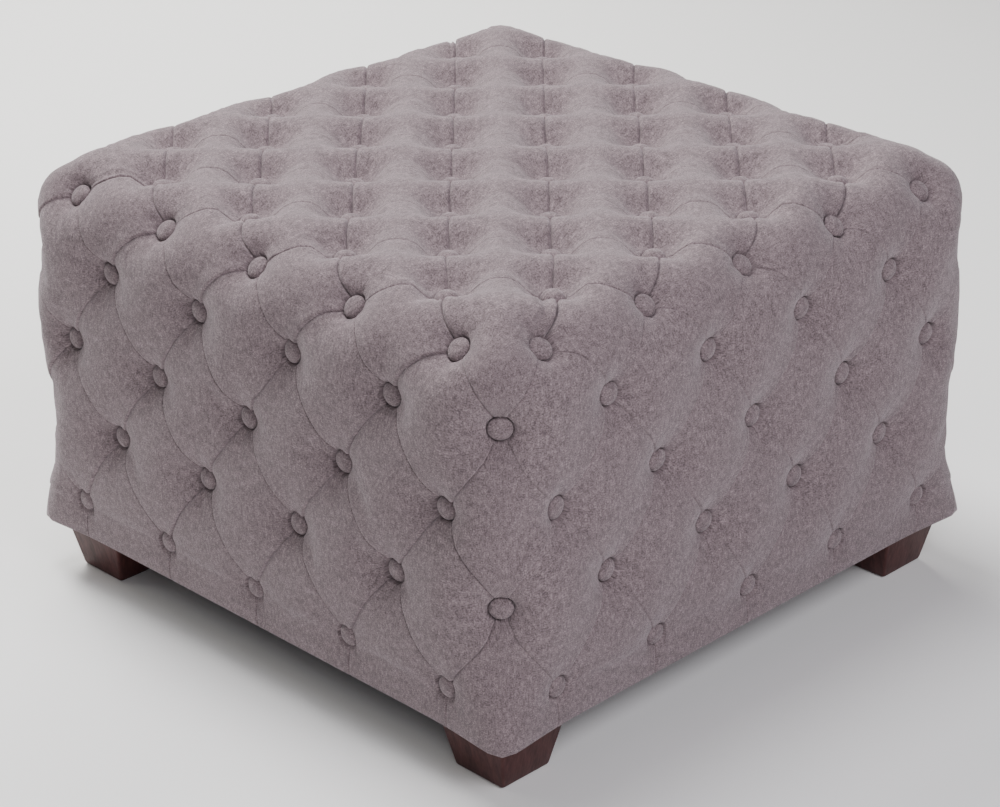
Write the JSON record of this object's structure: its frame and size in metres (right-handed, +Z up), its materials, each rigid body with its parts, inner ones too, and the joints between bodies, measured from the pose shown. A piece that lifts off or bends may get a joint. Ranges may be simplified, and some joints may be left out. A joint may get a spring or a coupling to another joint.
{
  "type": "tufted ottoman stool",
  "caption": "Low square upholstered ottoman, deep diamond tufting with covered buttons on the seat and all sides, on short tapered wooden block feet.",
  "frame": {"origin": "on the floor, under the middle of the seat", "axes": "+Z up; +X and +Y are square to the sides, the front is -Y; the picture looks along the corner at +X, -Y"},
  "size_m": [0.6356, 0.6356, 0.4194],
  "materials": {
    "cover_fabric": "flat-woven heathered grey-taupe cloth with a lilac cast, matt",
    "button_fabric": "the same heathered cloth pulled over a domed button",
    "foot_wood": "espresso-stained wood with a faint upright grain, satin lacquer"
  },
  "bodies": {
    "root": {"cover": "cover_fabric", "button_seat_01": "button_fabric", "button_seat_02": "button_fabric", "button_seat_03": "button_fabric", "button_seat_04": "button_fabric", "button_seat_05": "button_fabric", "button_seat_06": "button_fabric", "button_seat_07": "button_fabric", "button_seat_08": "button_fabric", "button_seat_09": "button_fabric", "button_seat_10": "button_fabric", "button_seat_11": "button_fabric", "button_seat_12": "button_fabric", "button_seat_13": "button_fabric", "button_seat_14": "button_fabric", "button_seat_15": "button_fabric", "button_seat_16": "button_fabric", "button_seat_17": "button_fabric", "button_seat_18": "button_fabric", "button_seat_19": "button_fabric", "button_seat_20": "button_fabric", "button_seat_21": "button_fabric", "button_seat_22": "button_fabric", "button_seat_23": "button_fabric", "button_seat_24": "button_fabric", "button_seat_25": "button_fabric", "button_seat_26": "button_fabric", "button_seat_27": "button_fabric", "button_seat_28": "button_fabric", "button_seat_29": "button_fabric", "button_seat_30": "button_fabric", "button_seat_31": "button_fabric", "button_seat_32": "button_fabric", "button_seat_33": "button_fabric", "button_seat_34": "button_fabric", "button_seat_35": "button_fabric", "button_seat_36": "button_fabric", "button_seat_37": "button_fabric", "button_seat_38": "button_fabric", "button_seat_39": "button_fabric", "button_seat_40": "button_fabric", "button_corner_1": "button_fabric", "button_corner_2": "button_fabric", "button_corner_3": "button_fabric", "button_corner_4": "button_fabric", "button_corner_5": "button_fabric", "button_corner_6": "button_fabric", "button_corner_7": "button_fabric", "button_corner_8": "button_fabric", "foot_front_left": "foot_wood", "foot_front_right": "foot_wood", "foot_back_left": "foot_wood", "foot_back_right": "foot_wood"}
  },
  "joints": []
}
